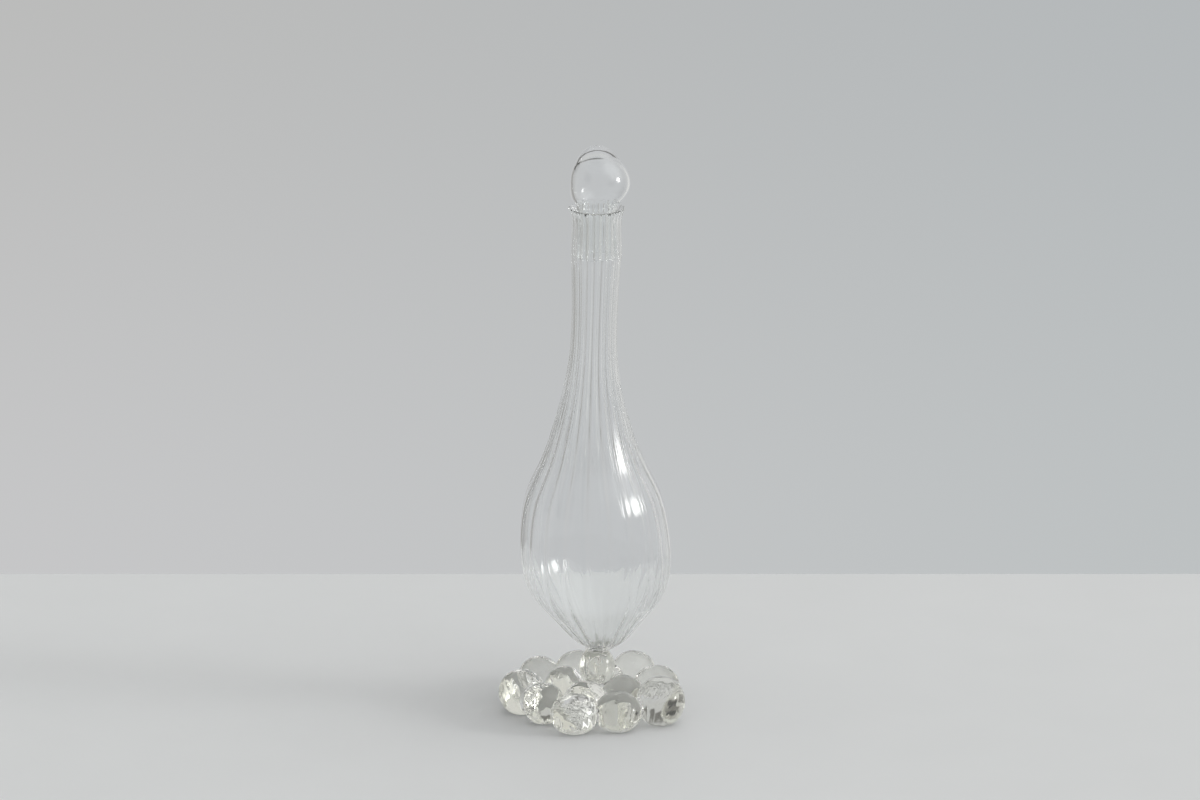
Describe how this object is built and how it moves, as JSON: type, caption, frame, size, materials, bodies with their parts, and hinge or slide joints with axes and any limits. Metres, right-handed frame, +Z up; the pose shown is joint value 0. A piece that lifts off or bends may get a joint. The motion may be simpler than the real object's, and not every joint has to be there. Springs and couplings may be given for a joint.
{
  "type": "carafe",
  "caption": "Ribbed blown-glass carafe with a long neck, on a solid knop and a base of fused glass pebbles, closed by a hollow ball stopper that lifts out of the neck.",
  "frame": {"origin": "where the carafe's upright axis meets the table, on the flat foot of the centre pebble", "axes": "+Z up along the neck, -Y towards the front of the picture, +X to the right of the picture"},
  "size_m": [0.11, 0.0999, 0.3404],
  "materials": {
    "blown_glass": "gloss",
    "solid_glass": "gloss",
    "pebble_glass": "gloss"
  },
  "bodies": {
    "carafe": {"vessel": "blown_glass", "collar": "solid_glass", "knop": "solid_glass", "pebble_front_left": "pebble_glass", "pebble_front_right": "pebble_glass", "pebble_right_front": "pebble_glass", "pebble_right": "pebble_glass", "pebble_back_right": "pebble_glass", "pebble_back": "pebble_glass", "pebble_back_left": "pebble_glass", "pebble_left_back": "pebble_glass", "pebble_left": "pebble_glass", "pebble_left_front": "pebble_glass", "pebble_inner_front": "pebble_glass", "pebble_inner_right": "pebble_glass", "pebble_inner_back": "pebble_glass", "pebble_inner_left": "pebble_glass", "pebble_centre": "pebble_glass"},
    "stopper": {"stopper": "blown_glass"}
  },
  "joints": [
    {"name": "stopper_lift", "type": "slide", "parent": "carafe", "child": "stopper", "axis": [0, 0, 1], "range_m": [0, 0.06]}
  ]
}
